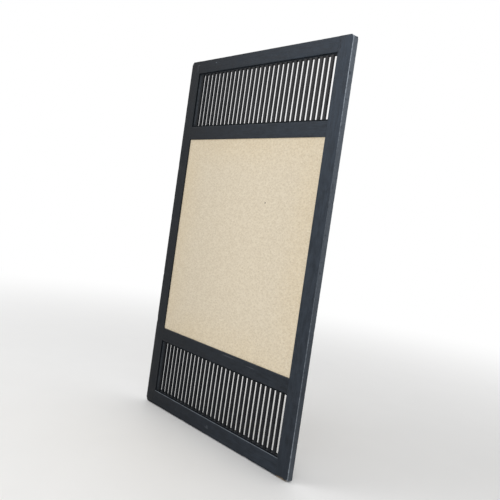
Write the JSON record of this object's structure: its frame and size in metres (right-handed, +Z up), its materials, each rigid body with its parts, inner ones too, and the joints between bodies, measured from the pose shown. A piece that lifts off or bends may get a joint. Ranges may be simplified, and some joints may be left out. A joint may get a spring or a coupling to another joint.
{
  "type": "sliding screen leaf",
  "caption": "Black framed sliding screen leaf with a papered middle panel, slatted grilles above and below, and rollers in its lower edge.",
  "frame": {"origin": "on the track surface under the middle of the leaf, where the two wheels touch", "axes": "+X to the right seen from the front, front face towards -Y, +Z up"},
  "size_m": [1.067, 0.03, 1.7615],
  "materials": {
    "stained_wood": "black stain, satin, worn at the edges",
    "bare_wood": "planed softwood",
    "thin_board": "sanded thin board",
    "facing_paper": "matt warm beige fibre paper",
    "roller_steel": "zinc plated, dulled",
    "wheel_plastic": "off-white nylon, dirty"
  },
  "bodies": {
    "leaf": {"left_stile": "stained_wood", "right_stile": "stained_wood", "top_rail": "stained_wood", "upper_middle_rail": "stained_wood", "lower_middle_rail": "stained_wood", "bottom_rail": "stained_wood", "tenon_wedges": "stained_wood", "upper_head_strip": "stained_wood", "upper_sill_strip": "stained_wood", "upper_left_strip": "stained_wood", "upper_right_strip": "stained_wood", "upper_slats": "stained_wood", "lower_head_strip": "stained_wood", "lower_sill_strip": "stained_wood", "lower_left_strip": "stained_wood", "lower_right_strip": "stained_wood", "lower_slats": "stained_wood", "panel_core": "bare_wood", "front_skin": "thin_board", "back_skin": "thin_board", "front_paper": "facing_paper", "back_paper": "facing_paper", "roller_screws": "roller_steel", "left_roller_case": "roller_steel", "left_roller_axle": "roller_steel", "right_roller_case": "roller_steel", "right_roller_axle": "roller_steel"},
    "left_wheel": {"left_roller_wheel": "wheel_plastic"},
    "right_wheel": {"right_roller_wheel": "wheel_plastic"}
  },
  "joints": [
    {"name": "left_wheel_spin", "type": "hinge", "parent": "leaf", "child": "left_wheel", "pos_m": [-0.371, 0, 0.015], "axis": [0, 1, 0], "continuous": true},
    {"name": "right_wheel_spin", "type": "hinge", "parent": "leaf", "child": "right_wheel", "pos_m": [0.371, 0, 0.015], "axis": [0, 1, 0], "continuous": true}
  ]
}
